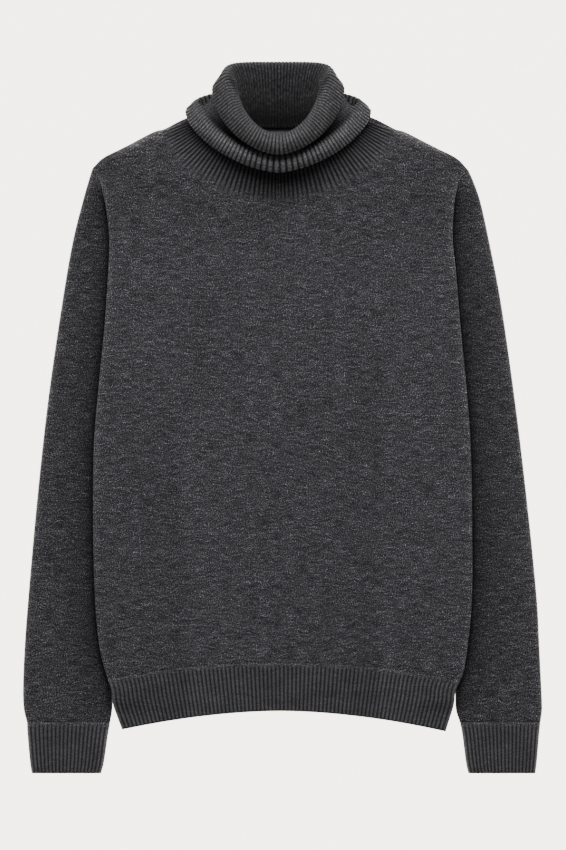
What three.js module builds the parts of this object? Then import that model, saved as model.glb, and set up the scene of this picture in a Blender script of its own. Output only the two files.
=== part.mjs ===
// A turtleneck sweater in fine wool knit, laid flat on its back with its sleeves down its sides.
// Millimetres. +X is the right of the garment as seen from above, +Y is towards the collar, and +Z is
// up from the surface that it lies on. The origin is on that surface, under the middle of the garment.
import * as THREE from "three";

// Driving dimensions
const cloth = 2.2; // wall of every knitted piece
const seam = 0.3; // clearance between two pieces where they are sewn together
const sleeveHeight = 6.5; // a flattened sleeve, both layers
const bodyHeight = 7; // the flattened body, both layers, where it lies on the surface
const bodyPuff = 1.1; // how far the front stands up in the middle of the chest
const drapeWidth = 60; // the body comes down from a sleeve to the surface in this width
const edgeRound = 8; // width of the rounded edge at the side and shoulder seams
const ribHeight = 0.7;
const halfChest = 200;
const middle = -3; // x of the garment's centre line
const collarMiddle = -4.5; // x of the collar's centre line

// The body's side edges, from the shoulder tips down to the corners of the hem.
const bodyEdge = [
  { y: 261, left: -200, right: 194.5 },
  { y: 250, left: -192.2, right: 186.4 },
  { y: 235, left: -188, right: 181.7 },
  { y: 219, left: -184.8, right: 179.6 },
  { y: 187, left: -181.7, right: 178.5 },
  { y: 156, left: -182.7, right: 181.7 },
  { y: 93, left: -186.9, right: 186.9 },
  { y: 30, left: -193.2, right: 193.2 },
  { y: -33, left: -198, right: 197.4 },
  { y: -128, left: -198.5, right: 199 },
  { y: -191, left: -196.4, right: 198.5 },
  { y: -238, left: -192.2, right: 194.3 },
  { y: -269, left: -184.8, right: 189 },
  { y: -285, left: -179.6, right: 181.7 },
  { y: -301, left: -177.5, right: 179.6 },
  { y: -328, left: -168, right: 171.5 },
];

// The shoulder line, by its reach from the centre line.
const shoulderLine = [
  { reach: 84, y: 321 },
  { reach: 102, y: 314 },
  { reach: 123, y: 303 },
  { reach: 146, y: 292.4 },
  { reach: 168, y: 281.9 },
  { reach: 187, y: 271.9 },
  { reach: 197.5, y: 261 },
];

// The sleeves. Outer is the edge that shows, inner is the edge that lies under the body, and slant is
// how much further down the section ends at its inner edge.
const sleeveEdge = [
  { y: 261, leftOuter: -200, leftInner: -112, rightInner: 108, rightOuter: 195, slant: 34 },
  { y: 250, leftOuter: -203.5, leftInner: -108, rightInner: 105, rightOuter: 200, slant: 28 },
  { y: 229, leftOuter: -209.5, leftInner: -103, rightInner: 101, rightOuter: 207.4, slant: 18 },
  { y: 187, leftOuter: -220, leftInner: -98, rightInner: 97, rightOuter: 216.8, slant: 6 },
  { y: 124, leftOuter: -231, leftInner: -97, rightInner: 97, rightOuter: 229, slant: 0 },
  { y: 19, leftOuter: -246.2, leftInner: -121, rightInner: 121, rightOuter: 244.1, slant: 0 },
  { y: -86, leftOuter: -257.8, leftInner: -144.4, rightInner: 145, rightOuter: 256.7, slant: 0 },
  { y: -191, leftOuter: -267.2, leftInner: -165.4, rightInner: 166.5, rightOuter: 267.2, slant: 0 },
  { y: -240, leftOuter: -270.8, leftInner: -174.5, rightInner: 176, rightOuter: 269.7, slant: 0 },
  { y: -285, leftOuter: -272.5, leftInner: -178, rightInner: 181, rightOuter: 271.9, slant: 0 },
  { y: -305, leftOuter: -271.6, leftInner: -178.6, rightInner: 181.8, rightOuter: 272.5, slant: 0 },
  { y: -318.7, leftOuter: -268.4, leftInner: -180.8, rightInner: 186, rightOuter: 270.8, slant: 0 },
];
const sleeveSections = [-305, -285, -250, -195, -141, -86, -32, 23, 78, 132, 187, 215, 235, 250, 259.5];

// The upper end of a sleeve under the body, and the stretch in which the hem comes down off the sleeves.
const sleeveHead = { reach: 105, y: 252, slope: 0.295 };
const hemRamp = { low: -311, high: -291 };

// The ribbed cuffs, from the sleeve down to the open end.
const cuffEdge = [
  { y: -319, leftOuter: -268.3, leftInner: -180.9, rightInner: 186.2, rightOuter: 270.7 },
  { y: -330, leftOuter: -267.8, leftInner: -182.8, rightInner: 188.4, rightOuter: 269.6 },
  { y: -362, leftOuter: -264.9, leftInner: -187.6, rightInner: 192.6, rightOuter: 266.8 },
  { y: -372.2, leftOuter: -263.2, leftInner: -190.4, rightInner: 194.9, rightOuter: 265.4 },
];
const cuffSections = [-372, -370, -364, -345, -319.2];

// The ribs at the lower edge of the body start at top and end at bottom. Both lines are arched.
const hemTop = { middle: -256.7, drop: 18, reach: 185, power: 2.2 };
const hemBottom = { middle: -306.8, drop: 20.5, reach: 170, power: 1.8 };

// The front stands up from the hem to the chest, and two soft troughs run down its lower half. A trough
// sinks in over a share of its length.
const puffRise = { low: -300, high: -150 };
const troughFade = 0.35;
const troughs = [
  { top: 10, bottom: -272, xTop: -116, xBottom: -95, width: 15, depth: 1.5 },
  { top: 20, bottom: -300, xTop: 106, xBottom: 104, width: 13, depth: 1.6 },
];

// The neck edge of the front, the lower limit of the ribs below the collar, and the neck of the back.
const neckFront = { half: 84, side: 316, front: 274.6, lean: 1.15 };
const yokeEdge = { half: 122, side: 303, front: 225, lean: 1.2 };
const neckBack = { half: 82, dip: 307.5, side: 318, power: 6 };
const shoulderSlope = 0.9; // distance from the shoulder line, for each millimetre straight down from it
const shoulderPower = 6; // how late the front's upper line leaves the shoulder for the ribs' limit

// The collar as rings, from the neck seam to the free edge of the tube. It is folded twice: the lower
// roll, then the upper roll, which turns the inside of the tube out. Half and side are the half width
// and the place of the widest points, and front and back are where the ring crosses the centre line.
// The powers give the roundness of its two halves: 2 is an ellipse, and more is squarer.
const collarRings = [
  { name: "neck seam", half: 86, side: 320, front: 272, back: 308,
    zFront: 11.2, zSide: 11, zBack: 1.1, frontPower: 1.87, backPower: 2.6 },
  { name: "lower roll, under", half: 93, side: 322, front: 263, back: 324,
    zFront: 13.2, zSide: 10.9, zBack: 1.1, frontPower: 1.7, backPower: 2.6 },
  { name: "lower roll, outer", half: 96.5, side: 321, front: 258.3, back: 337,
    zFront: 18, zSide: 13.5, zBack: 1.1, frontPower: 1.55, backPower: 2.3 },
  { name: "lower roll, crest", half: 91.5, side: 324, front: 264.5, back: 344.5,
    zFront: 23.6, zSide: 18.5, zBack: 2.6, frontPower: 1.52, backPower: 2.4 },
  { name: "lower roll, inner", half: 85.5, side: 330, front: 271.5, back: 341,
    zFront: 21, zSide: 16.5, zBack: 4.1, frontPower: 1.5, backPower: 2.6 },
  { name: "valley", half: 80, side: 333, front: 276.5, back: 318.5,
    zFront: 11.5, zSide: 9.2, zBack: 4.1, frontPower: 1.55, backPower: 2.8 },
  { name: "under the upper roll", half: 64, side: 339, front: 286.5, back: 307.2,
    zFront: 12, zSide: 11.8, zBack: 4.3, frontPower: 1.65, backPower: 3.2 },
  { name: "stand, low", half: 49.5, side: 347, front: 295.4, back: 307.2,
    zFront: 16, zSide: 14.5, zBack: 6.9, frontPower: 1.8, backPower: 3.6 },
  { name: "stand, high", half: 44.3, side: 354, front: 297, back: 327,
    zFront: 27, zSide: 21, zBack: 8.5, frontPower: 1.87, backPower: 4 },
  { name: "upper roll, inner", half: 47.5, side: 354, front: 292.6, back: 355,
    zFront: 34.6, zSide: 27.5, zBack: 16.5, frontPower: 1.85, backPower: 4.5 },
  { name: "upper roll, crest", half: 53.5, side: 355.5, front: 286.4, back: 371.4,
    zFront: 36.8, zSide: 29.8, zBack: 18, frontPower: 1.8, backPower: 6 },
  { name: "upper roll, outer", half: 62.5, side: 349, front: 279.6, back: 370.8,
    zFront: 34.2, zSide: 27.6, zBack: 12.5, frontPower: 1.76, backPower: 2.8 },
  { name: "upper roll, low", half: 68.3, side: 344, front: 276.8, back: 362,
    zFront: 29.6, zSide: 22.6, zBack: 5, frontPower: 1.74, backPower: 2.5 },
  { name: "free edge", half: 67, side: 343, front: 279, back: 352,
    zFront: 25.8, zSide: 18.4, zBack: 1.1, frontPower: 1.74, backPower: 2.5 },
];
const lastOutsideRing = 5; // rings up to this one show the outside of the tube, and the rest its inside
const lastOpenRing = 10; // the rings after this one lie on the surface behind the neck
const backShare = { start: 0.06, end: 0.44 }; // the part of each ring that lies behind the neck, with no ribs

// The woven tape on the inside of the back, which shows through the collar.
const neckTape = { half: 23, low: 293, high: 305, thickness: 1 };

// Rib counts
const hemRibs = 84;
const cuffRibs = 20;
const yokeRibs = 66;
const collarRibs = 80;

// Columns and rows of the walls
const columnsPerRib = 2;
const plainEvery = 4; // a plain side keeps one column in this many
const cuffPlainEvery = 3;
const backColumns = 26;
const hemBackColumns = 24;
const ribRows = 4;
const sleeveColumns = { top: 5, bottom: 3 };
const cuffBottomColumns = 4;
const edgeCorners = [0.3, 0.7]; // the corners at a flattened tube's edge, as shares of its half turn
const shoulderShare = 0.2; // the share of the body's columns on each side of the ribs below the collar
const columnLean = 0.03;
const chords = 960; // by which the length of a ring is measured

const wool = { body: 0x3e3e40, rib: 0x363638, sleeve: 0x38383a };
const tapeGrey = 0x404042;

// Numbers
const lerp = THREE.MathUtils.lerp;
const smooth = (value, start, end) => THREE.MathUtils.smoothstep(value, start, end);

const tolerance = 1e-9;

function steps(count, start = 0, end = 1) {
  return Array.from({ length: count + 1 }, (_, i) => lerp(start, end, i / count));
}

// A smooth curve through one column of a table, read at a value of its key column.
function curveOf(table, key, column) {
  const rows = [...table].sort((a, b) => a[key] - b[key]);
  const at = rows.map((row) => row[key]);
  const value = rows.map((row) => row[column]);
  const last = rows.length - 1;
  const slope = value.map((_, i) => {
    const before = Math.max(i - 1, 0);
    const after = Math.min(i + 1, last);
    return (value[after] - value[before]) / (at[after] - at[before]);
  });
  return (place) => {
    const x = THREE.MathUtils.clamp(place, at[0], at[last]);
    const next = Math.max(at.findIndex((knot, i) => i > 0 && x <= knot), 1);
    const span = at[next] - at[next - 1];
    const t = (x - at[next - 1]) / span;
    const rise = value[next - 1] * (1 + 2 * t) * (1 - t) ** 2 + value[next] * t * t * (3 - 2 * t);
    return rise + span * (slope[next - 1] * t * (1 - t) ** 2 - slope[next] * t * t * (1 - t));
  };
}

const bodyLeft = curveOf(bodyEdge, "y", "left");
const bodyRight = curveOf(bodyEdge, "y", "right");
const shoulderY = curveOf(shoulderLine, "reach", "y");
const sleeveInnerLeft = curveOf(sleeveEdge, "y", "leftInner");
const sleeveInnerRight = curveOf(sleeveEdge, "y", "rightInner");

function archedLine(line, x) {
  return line.middle - line.drop * Math.abs((x - middle) / line.reach) ** line.power;
}

// A wall of cloth from the rows of points in its middle surface. Outside and inside give, for a row
// and a column, how far that side is raised, and which columns it keeps in that row. The outside faces
// the cross product of the direction along a row and the direction to the next row.
function clothWall(rows, closed, outside, inside) {
  const points = [];
  const faces = [];

  const normalAt = (i, j) => {
    const row = rows[i];
    const count = row.length;
    const before = closed ? row[(j - 1 + count) % count] : row[Math.max(j - 1, 0)];
    const after = closed ? row[(j + 1) % count] : row[Math.min(j + 1, count - 1)];
    const lower = rows[Math.max(i - 1, 0)][j];
    const upper = rows[Math.min(i + 1, rows.length - 1)][j];
    const along = new THREE.Vector3().subVectors(after, before);
    const across = new THREE.Vector3().subVectors(upper, lower);
    return along.cross(across).normalize();
  };

  const addSide = (side, direction) =>
    rows.map((row, i) => {
      const every = side.every(i);
      const kept = [];
      row.forEach((point, j) => {
        if (j % every && (closed || j < row.length - 1)) return;
        const distance = direction * (cloth / 2 + side.raised(i, j));
        const moved = point.clone().addScaledVector(normalAt(i, j), distance);
        kept.push(points.length);
        points.push(moved.setZ(Math.max(moved.z, 0)));
      });
      return closed ? [...kept, kept[0]] : kept;
    });

  const bridge = (lower, upper) => {
    let i = 0;
    let j = 0;
    while (i < lower.length - 1 || j < upper.length - 1) {
      const nextLower = (i + 1) / (lower.length - 1);
      const nextUpper = (j + 1) / (upper.length - 1);
      if (j === upper.length - 1 || (i < lower.length - 1 && nextLower <= nextUpper + tolerance)) {
        faces.push(lower[i], lower[i + 1], upper[j]);
        i += 1;
      } else {
        faces.push(lower[i], upper[j + 1], upper[j]);
        j += 1;
      }
    }
  };

  const outer = addSide(outside, 1);
  const inner = addSide(inside, -1);
  for (let i = 0; i + 1 < rows.length; i += 1) {
    bridge(outer[i], outer[i + 1]);
    bridge(inner[i + 1], inner[i]);
  }
  bridge(inner[0], outer[0]);
  bridge(outer.at(-1), inner.at(-1));
  if (!closed) {
    bridge(outer.map((row) => row[0]), inner.map((row) => row[0]));
    bridge(inner.map((row) => row.at(-1)), outer.map((row) => row.at(-1)));
  }

  const places = points.flatMap((point) => point.toArray());
  const geometry = new THREE.BufferGeometry();
  geometry.setAttribute("position", new THREE.Float32BufferAttribute(places, 3));
  geometry.setIndex(faces);
  geometry.computeVertexNormals();
  return geometry;
}

const plain = { raised: () => 0, every: () => 1 };
const plainSparse = { raised: () => 0, every: () => plainEvery };
const ribbed = { raised: (_, j) => (j % columnsPerRib ? ribHeight : 0), every: () => 1 };

function piece(name, geometry, color) {
  const knit = new THREE.MeshStandardMaterial({ color, roughness: 0.95, metalness: 0 });
  const mesh = new THREE.Mesh(geometry, knit);
  mesh.name = name;
  return mesh;
}

// Heights of the body

// 1 where a sleeve lies under the body, falling to 0 where the body lies on the surface. The shoulder
// comes down above the sleeve heads, and the hem just above its corners.
function overSleeve(x, y) {
  const left = smooth(sleeveInnerLeft(y) + drapeWidth - x, 0, drapeWidth);
  const right = smooth(x - (sleeveInnerRight(y) - drapeWidth), 0, drapeWidth);
  const reach = Math.abs(x - middle);
  const headY = sleeveHead.y + (reach - sleeveHead.reach) * sleeveHead.slope;
  const aboveHead = smooth(y - headY, 0, drapeWidth);
  return Math.max(left, right) * smooth(y, hemRamp.low, hemRamp.high) * (1 - aboveHead);
}

const lift = (x, y) => (sleeveHeight + 2 * seam) * overSleeve(x, y);

function troughDepth(x, y) {
  return troughs.reduce((sum, trough) => {
    const down = THREE.MathUtils.clamp((trough.top - y) / (trough.top - trough.bottom), 0, 1);
    const off = (x - lerp(trough.xTop, trough.xBottom, down)) / trough.width;
    return sum + trough.depth * smooth(down, 0, troughFade) * Math.exp(-off * off);
  }, 0);
}

function puff(x, y) {
  const acrossBody = 1 - ((x - middle) / halfChest) ** 2;
  return bodyPuff * Math.max(acrossBody, 0) * smooth(y, puffRise.low, puffRise.high);
}

// Distance in from the side and shoulder seams.
function edgeDistance(x, y) {
  const fromLeft = x - bodyLeft(y);
  const fromRight = bodyRight(y) - x;
  const fromShoulder = shoulderSlope * (shoulderY(Math.abs(x - middle)) - y);
  return Math.max(Math.min(fromLeft, fromRight, fromShoulder) - cloth / 2, 0);
}

const backMiddleZ = (x, y) => cloth / 2 + lift(x, y);

// The middle of the front's wall, rounded down to the back at the side and shoulder seams.
function frontMiddleZ(x, y) {
  const top = bodyHeight - cloth / 2 + lift(x, y) + puff(x, y) - troughDepth(x, y);
  const low = backMiddleZ(x, y) + cloth / 2 + 4 * seam;
  const share = Math.min(edgeDistance(x, y) / edgeRound, 1);
  return low + (top - low) * Math.sqrt(1 - (1 - share) ** 2);
}

// A patch of cloth between a left, a right, a lower and an upper line, as rows of points. The columns
// run straight from the lower line to the upper one, but for those near a side, which bow as it does.
function patch(lines, across, along, heightAt) {
  const bow = (side, v) => side(v).x - lerp(side(0).x, side(1).x, v);
  return along.map((v) =>
    across.map((u) => {
      const low = lines.lower(u);
      const high = lines.upper(u);
      const nearLeft = Math.max(1 - u / shoulderShare, 0);
      const nearRight = Math.max(1 - (1 - u) / shoulderShare, 0);
      const x = lerp(low.x, high.x, v) + nearLeft * bow(lines.left, v) + nearRight * bow(lines.right, v);
      const y = lerp(low.y, high.y, v);
      return new THREE.Vector3(x, y, heightAt(x, y));
    }),
  );
}

// The body's side edge between two heights, inset from the silhouette.
const sideLine = (edge, inset, low, high) => (v) => {
  const y = lerp(low, high, v);
  return { x: edge(y) + inset, y };
};

// One end of an arched line across the body, where it meets the side edge.
function sideEnd(edge, line) {
  let y = line.middle - line.drop;
  for (let i = 0; i < 4; i += 1) y = archedLine(line, edge(y));
  return y;
}

const archedAcross = (line, inset) => {
  const left = bodyLeft(sideEnd(bodyLeft, line)) + inset;
  const right = bodyRight(sideEnd(bodyRight, line)) - inset;
  return (u) => {
    const x = lerp(left, right, u);
    return { x, y: archedLine(line, x) };
  };
};

// A point on the front half of a ring round the neck. Turn 0 is the left shoulder and 1 the right.
function halfRing(ring, turn) {
  const angle = Math.PI * turn;
  const across = -Math.sign(Math.cos(angle)) * Math.abs(Math.cos(angle)) ** ring.lean;
  return { x: collarMiddle + ring.half * across, y: lerp(ring.side, ring.front, Math.sin(angle)) };
}

const tipY = bodyEdge[0].y;

// The front's upper line: along one shoulder, round the ribs below the collar, along the other.
function frontTop(u) {
  const onShoulder = (share, from, ring) => {
    const x = lerp(from, ring.x, share);
    return { x, y: lerp(shoulderY(Math.abs(x - middle)) - cloth / 2, ring.y, share ** shoulderPower) };
  };
  if (u < shoulderShare) {
    return onShoulder(u / shoulderShare, bodyLeft(tipY) + cloth / 2, halfRing(yokeEdge, 0));
  }
  if (u > 1 - shoulderShare) {
    return onShoulder((1 - u) / shoulderShare, bodyRight(tipY) - cloth / 2, halfRing(yokeEdge, 1));
  }
  return halfRing(yokeEdge, (u - shoulderShare) / (1 - 2 * shoulderShare));
}

// Where the front's columns end at the limit of the ribs below the collar, and on the shoulders.
const yokeTurns = [0, ...steps(12, 0.125, 0.875), 1];
const shoulderColumns = [0, 0.005, 0.016, 0.05, 0.1, 0.15];
const panelColumns = [
  ...shoulderColumns,
  ...yokeTurns.map((turn) => lerp(shoulderShare, 1 - shoulderShare, turn)),
  ...shoulderColumns.map((u) => 1 - u).reverse(),
];

// The lower limit of the yoke, with its corners where the front's columns end.
function yokeLimit(turn) {
  const next = Math.max(yokeTurns.findIndex((knot) => knot >= turn), 1);
  const from = halfRing(yokeEdge, yokeTurns[next - 1]);
  const to = halfRing(yokeEdge, yokeTurns[next]);
  const share = (turn - yokeTurns[next - 1]) / (yokeTurns[next] - yokeTurns[next - 1]);
  return { x: lerp(from.x, to.x, share), y: lerp(from.y, to.y, share) };
}

// The front's columns run up the body, so each starts at about the share of its width where it ends.
function widthShare(u) {
  const left = frontTop(0).x;
  const right = frontTop(1).x;
  const share = (frontTop(u).x - left) / (right - left);
  return share - columnLean * Math.sin(2 * Math.PI * share);
}

function frontPanel() {
  const inset = cloth / 2;
  const lines = {
    left: sideLine(bodyLeft, inset, sideEnd(bodyLeft, hemTop) + seam, tipY),
    right: sideLine(bodyRight, -inset, sideEnd(bodyRight, hemTop) + seam, tipY),
    lower: (u) => {
      const point = archedAcross(hemTop, inset)(widthShare(u));
      return { x: point.x, y: point.y + seam };
    },
    upper: frontTop,
  };
  const along = [...steps(9, 0, 0.9), 0.95, 0.98, 0.992, 1];
  const rows = patch(lines, panelColumns, along, frontMiddleZ);
  return piece("front_panel", clothWall(rows, false, plain, plain), wool.body);
}

// The back reaches the same seams and lies flat, but for its sides, which lie on the sleeves.
function backPanel() {
  const inset = seam;
  const upper = (u) => {
    const left = bodyLeft(tipY) + inset;
    const right = bodyRight(tipY) - inset;
    const x = lerp(left, right, u);
    const reach = Math.abs(x - middle);
    const share = Math.min(reach / neckBack.half, 1);
    const neck = lerp(neckBack.dip, neckBack.side, share ** neckBack.power);
    return { x, y: reach < neckBack.half ? neck : shoulderY(reach) - inset };
  };
  const lines = {
    left: sideLine(bodyLeft, inset, sideEnd(bodyLeft, hemTop) + seam, tipY),
    right: sideLine(bodyRight, -inset, sideEnd(bodyRight, hemTop) + seam, tipY),
    lower: (u) => {
      const point = archedAcross(hemTop, inset)(u);
      return { x: point.x, y: point.y + seam };
    },
    upper,
  };
  const along = [...steps(9, 0, 0.9), 0.95, 1];
  const rows = patch(lines, steps(backColumns), along, backMiddleZ);
  return piece("back_panel", clothWall(rows, false, plain, plain), wool.body);
}

// The ribs below the collar run out from the neck edge and end in the plain knit of the front.
function yokeFront() {
  const gap = 3 * seam;
  const turns = steps(yokeRibs * columnsPerRib);
  const rows = steps(ribRows).map((v) =>
    turns.map((turn) => {
      const limit = yokeLimit(turn);
      const high = halfRing(neckFront, turn);
      const low = { x: limit.x - gap * Math.sign(limit.x - high.x), y: limit.y + gap };
      const x = lerp(low.x, high.x, v);
      const seamY = shoulderY(Math.abs(x - middle)) - cloth / 2;
      const y = Math.min(lerp(low.y, high.y, v), seamY);
      return new THREE.Vector3(x, y, frontMiddleZ(x, y));
    }),
  );
  const fading = { raised: (i, j) => (i > 0 && j % columnsPerRib ? ribHeight : 0), every: () => 1 };
  return piece("yoke_ribs", clothWall(rows, false, fading, plainSparse), wool.body);
}

function hemFront() {
  const inset = cloth / 2;
  const lines = {
    left: sideLine(bodyLeft, inset, sideEnd(bodyLeft, hemBottom), sideEnd(bodyLeft, hemTop) - seam),
    right: sideLine(bodyRight, -inset, sideEnd(bodyRight, hemBottom), sideEnd(bodyRight, hemTop) - seam),
    lower: archedAcross(hemBottom, inset),
    upper: (u) => {
      const point = archedAcross(hemTop, inset)(u);
      return { x: point.x, y: point.y - seam };
    },
  };
  const rows = patch(lines, steps(hemRibs * columnsPerRib), steps(ribRows), frontMiddleZ);
  return piece("hem_front", clothWall(rows, false, ribbed, plainSparse), wool.rib);
}

function hemBack() {
  const inset = seam;
  const lines = {
    left: sideLine(bodyLeft, inset, sideEnd(bodyLeft, hemBottom), sideEnd(bodyLeft, hemTop) - seam),
    right: sideLine(bodyRight, -inset, sideEnd(bodyRight, hemBottom), sideEnd(bodyRight, hemTop) - seam),
    lower: archedAcross(hemBottom, inset),
    upper: (u) => {
      const point = archedAcross(hemTop, inset)(u);
      return { x: point.x, y: point.y - seam };
    },
  };
  const rows = patch(lines, steps(hemBackColumns), steps(ribRows), backMiddleZ);
  return piece("hem_back", clothWall(rows, false, plain, plain), wool.rib);
}

// The middle surface of a flattened tube, as shares of the way from its first edge to its second.
// Top columns run along the upper layer, and bottom columns back along the lower one.
function flatTube(first, second, height, topColumns, bottomColumns) {
  const width = first.distanceTo(second) - cloth;
  const radius = (height - cloth) / 2;
  const straight = width - 2 * radius;
  const over = new THREE.Vector3().subVectors(second, first).normalize();
  const start = first.clone().addScaledVector(over, cloth / 2 + radius);
  const place = (distance, z) => start.clone().addScaledVector(over, distance).setZ(z);
  const high = height - cloth / 2;
  const low = cloth / 2;
  const middleZ = (high + low) / 2;
  const corners = (from, direction) =>
    edgeCorners.map((share) => {
      const angle = Math.PI * share;
      const z = middleZ + direction * radius * Math.cos(angle);
      return place(from + direction * radius * Math.sin(angle), z);
    });
  return [
    ...steps(topColumns).map((share) => place(straight * share, high)),
    ...corners(straight, 1),
    ...steps(bottomColumns).map((share) => place(straight * (1 - share), low)),
    ...corners(0, -1),
  ];
}

function tubeRows(table, side, heights, topColumns, bottomColumns) {
  const first = curveOf(table, "y", side === "left" ? "leftOuter" : "rightInner");
  const second = curveOf(table, "y", side === "left" ? "leftInner" : "rightOuter");
  const slant = table[0].slant === undefined ? () => 0 : curveOf(table, "y", "slant");
  return heights.map((y) => {
    const lower = y - slant(y);
    const firstY = side === "left" ? y : lower;
    const secondY = side === "left" ? lower : y;
    return flatTube(
      new THREE.Vector3(first(y), firstY, 0),
      new THREE.Vector3(second(y), secondY, 0),
      sleeveHeight,
      topColumns,
      bottomColumns,
    );
  });
}

function sleeve(side) {
  const wrist = sleeveEdge.at(-1).y + seam;
  const heights = [wrist, ...sleeveSections];
  const rows = tubeRows(sleeveEdge, side, heights, sleeveColumns.top, sleeveColumns.bottom);
  return piece(`sleeve_${side}`, clothWall(rows, true, plain, plain), wool.sleeve);
}

function cuff(side) {
  const top = cuffRibs * columnsPerRib;
  const rows = tubeRows(cuffEdge, side, cuffSections, top, cuffBottomColumns);
  const onTop = {
    raised: (i, j) => (i > 0 && j < top && j % columnsPerRib ? ribHeight : 0),
    every: () => 1,
  };
  const inside = { raised: () => 0, every: () => cuffPlainEvery };
  return piece(`cuff_${side}`, clothWall(rows, true, onTop, inside), wool.rib);
}

function collarPoint(ring, turn) {
  const angle = 2 * Math.PI * turn;
  const inFront = Math.sin(angle) < 0;
  const power = inFront ? ring.frontPower : ring.backPower;
  const across = Math.abs(Math.cos(angle));
  const forward = Math.abs(Math.sin(angle));
  const size = (across ** power + forward ** power) ** (1 / power);
  const share = forward / size;
  return new THREE.Vector3(
    collarMiddle + (ring.half * Math.cos(angle)) / size,
    lerp(ring.side, inFront ? ring.front : ring.back, share),
    lerp(ring.zSide, inFront ? ring.zFront : ring.zBack, share * share),
  );
}

// Turns at even distances round a ring, starting at its right side.
function evenTurns(ring, count) {
  const fine = steps(chords);
  const lengths = [0];
  fine.slice(1).forEach((turn, i) => {
    lengths.push(lengths[i] + collarPoint(ring, turn).distanceTo(collarPoint(ring, fine[i])));
  });
  return steps(count).slice(0, count).map((share) => {
    const length = share * lengths.at(-1);
    const next = Math.max(lengths.findIndex((total) => total >= length), 1);
    const chord = lengths[next] - lengths[next - 1];
    return lerp(fine[next - 1], fine[next], (length - lengths[next - 1]) / chord);
  });
}

function rollCollar() {
  const columns = collarRibs * columnsPerRib;
  const turns = evenTurns(collarRings.find((ring) => ring.name === "upper roll, crest"), columns);
  const rows = collarRings.map((ring) => turns.map((turn) => collarPoint(ring, turn)));
  const ribAt = (j) => (j % columnsPerRib ? ribHeight : 0);
  const behind = (j) => turns[j] > backShare.start && turns[j] < backShare.end;
  const outside = {
    raised: (i, j) => (i <= lastOutsideRing && !behind(j) ? ribAt(j) : 0),
    every: (i) => (i <= lastOutsideRing ? 1 : plainEvery),
  };
  const inside = {
    raised: (i, j) => (i > lastOutsideRing && !(i > lastOpenRing && behind(j)) ? ribAt(j) : 0),
    every: (i) => (i > lastOutsideRing ? 1 : plainEvery),
  };
  return piece("roll_collar", clothWall(rows, true, outside, inside), wool.rib);
}

function tapeInNeck() {
  const { half, low, high, thickness } = neckTape;
  const tape = piece("neck_tape", new THREE.BoxGeometry(2 * half, high - low, thickness), tapeGrey);
  tape.position.set(collarMiddle, (low + high) / 2, cloth + seam + thickness / 2);
  return tape;
}

const sweater = new THREE.Group();
sweater.add(
  backPanel(),
  frontPanel(),
  yokeFront(),
  hemBack(),
  hemFront(),
  sleeve("left"),
  sleeve("right"),
  cuff("left"),
  cuff("right"),
  rollCollar(),
  tapeInNeck(),
);

export default sweater;
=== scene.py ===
import bmesh
import bpy
import numpy as np
from bpy.props import FloatProperty, FloatVectorProperty, IntProperty, PointerProperty
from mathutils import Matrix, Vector


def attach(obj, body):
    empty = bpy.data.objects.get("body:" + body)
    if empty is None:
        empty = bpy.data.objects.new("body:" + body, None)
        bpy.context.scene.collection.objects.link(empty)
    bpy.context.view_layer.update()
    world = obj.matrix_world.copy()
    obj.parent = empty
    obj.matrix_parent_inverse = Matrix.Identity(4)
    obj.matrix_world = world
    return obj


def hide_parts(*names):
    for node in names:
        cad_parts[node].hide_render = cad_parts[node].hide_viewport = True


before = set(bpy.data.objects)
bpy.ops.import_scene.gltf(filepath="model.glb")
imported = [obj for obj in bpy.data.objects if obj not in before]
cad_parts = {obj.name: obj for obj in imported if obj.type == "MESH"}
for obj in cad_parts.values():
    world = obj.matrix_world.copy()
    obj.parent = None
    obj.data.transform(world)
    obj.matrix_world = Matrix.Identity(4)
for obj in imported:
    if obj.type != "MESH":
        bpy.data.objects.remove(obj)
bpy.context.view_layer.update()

bl_info = {
    "name": "Turtleneck Sweater",
    "version": (1, 0, 0),
    "blender": (4, 5, 0),
    "location": "View3D > Sidebar > Sweater",
    "description": "Knits a rib collar sweater in melange wool, laid flat on the packed frame",
    "category": "Object",
}

# Lengths in this file are millimetres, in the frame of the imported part, and meshes are written in metres.
# +X is the garment's right as seen from above, +Y is towards the collar, and +Z is up from the surface.
METRE = 1000
SOLID_WALL = 2.2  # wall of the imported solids, whose outer side these shells follow
SLEEVE_HEIGHT = 6.5
BODY_HEIGHT = 7
BODY_PUFF = 1.1
SEAM = 0.3
DRAPE_WIDTH = 60  # the body comes down from a sleeve to the surface in this width
EDGE_ROUND = 8
MIDDLE = -3  # x of the garment's centre line
COLLAR_MIDDLE = -4.5


def table(names, *rows):
    """A short table as dictionaries, from its column names and its rows."""
    return [dict(zip(names.split(), row)) for row in rows]


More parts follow.
